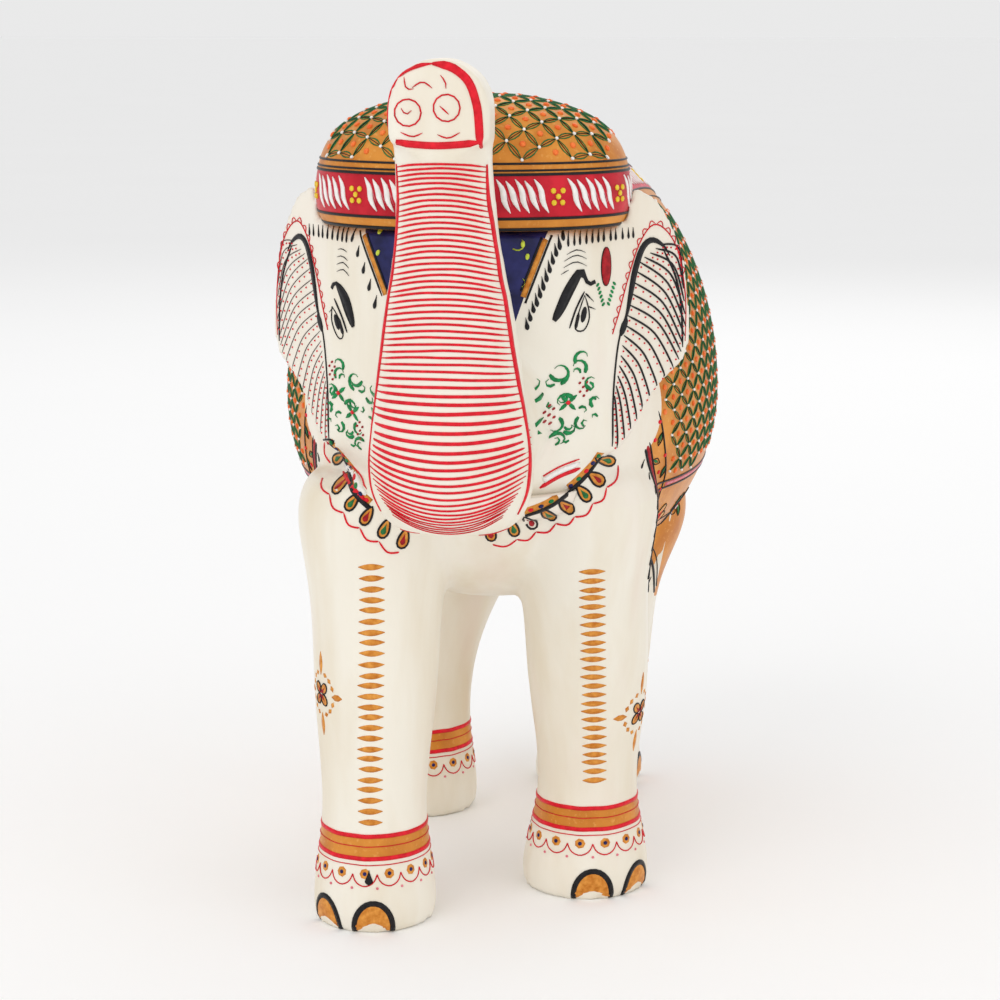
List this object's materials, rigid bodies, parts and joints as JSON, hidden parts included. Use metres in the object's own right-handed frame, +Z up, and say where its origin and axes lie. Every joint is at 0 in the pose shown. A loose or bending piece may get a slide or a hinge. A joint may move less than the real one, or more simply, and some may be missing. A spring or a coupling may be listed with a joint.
{
  "type": "elephant figurine",
  "caption": "Carved and painted wooden elephant standing with its trunk raised, wearing a domed headdress and a painted saddle cloth, for display.",
  "frame": {"origin": "on the ground under the middle of the bounding box", "axes": "+Z up; the elephant faces -Y; +X is the elephant's left side"},
  "size_m": [0.1622, 0.278, 0.305],
  "materials": {
    "cream_lacquer": "warm white primer under clear lacquer, satin to gloss",
    "gold_paint": "gold-orange hand paint under clear lacquer",
    "red_paint": "red hand-painted strokes under clear lacquer",
    "black_paint": "black hand-painted strokes under clear lacquer",
    "navy_paint": "navy hand-painted strokes under clear lacquer",
    "green_paint": "green hand-painted strokes under clear lacquer",
    "yellow_paint": "yellow hand-painted dots and strokes under clear lacquer",
    "white_paint": "white hand-painted dots and strokes under clear lacquer",
    "relief_paste": "raised orange dots of thick paint, glossy",
    "bare_wood": "bare turned hardwood dowel, unfinished"
  },
  "bodies": {
    "root": {"torso_left_half": "cream_lacquer", "torso_right_half": "cream_lacquer", "head": "cream_lacquer", "headdress": "gold_paint", "trunk": "cream_lacquer", "lower_lip": "cream_lacquer", "left_ear": "cream_lacquer", "right_ear": "cream_lacquer", "front_left_leg": "cream_lacquer", "front_right_leg": "cream_lacquer", "rear_left_leg": "cream_lacquer", "rear_right_leg": "cream_lacquer", "tail": "cream_lacquer", "torso_dowels": "bare_wood", "leg_dowels": "bare_wood", "neck_dowels": "bare_wood", "headdress_dowels": "bare_wood", "trunk_dowels": "bare_wood", "ear_pegs": "bare_wood", "tail_pegs": "bare_wood", "lip_peg": "bare_wood"}
  },
  "joints": []
}
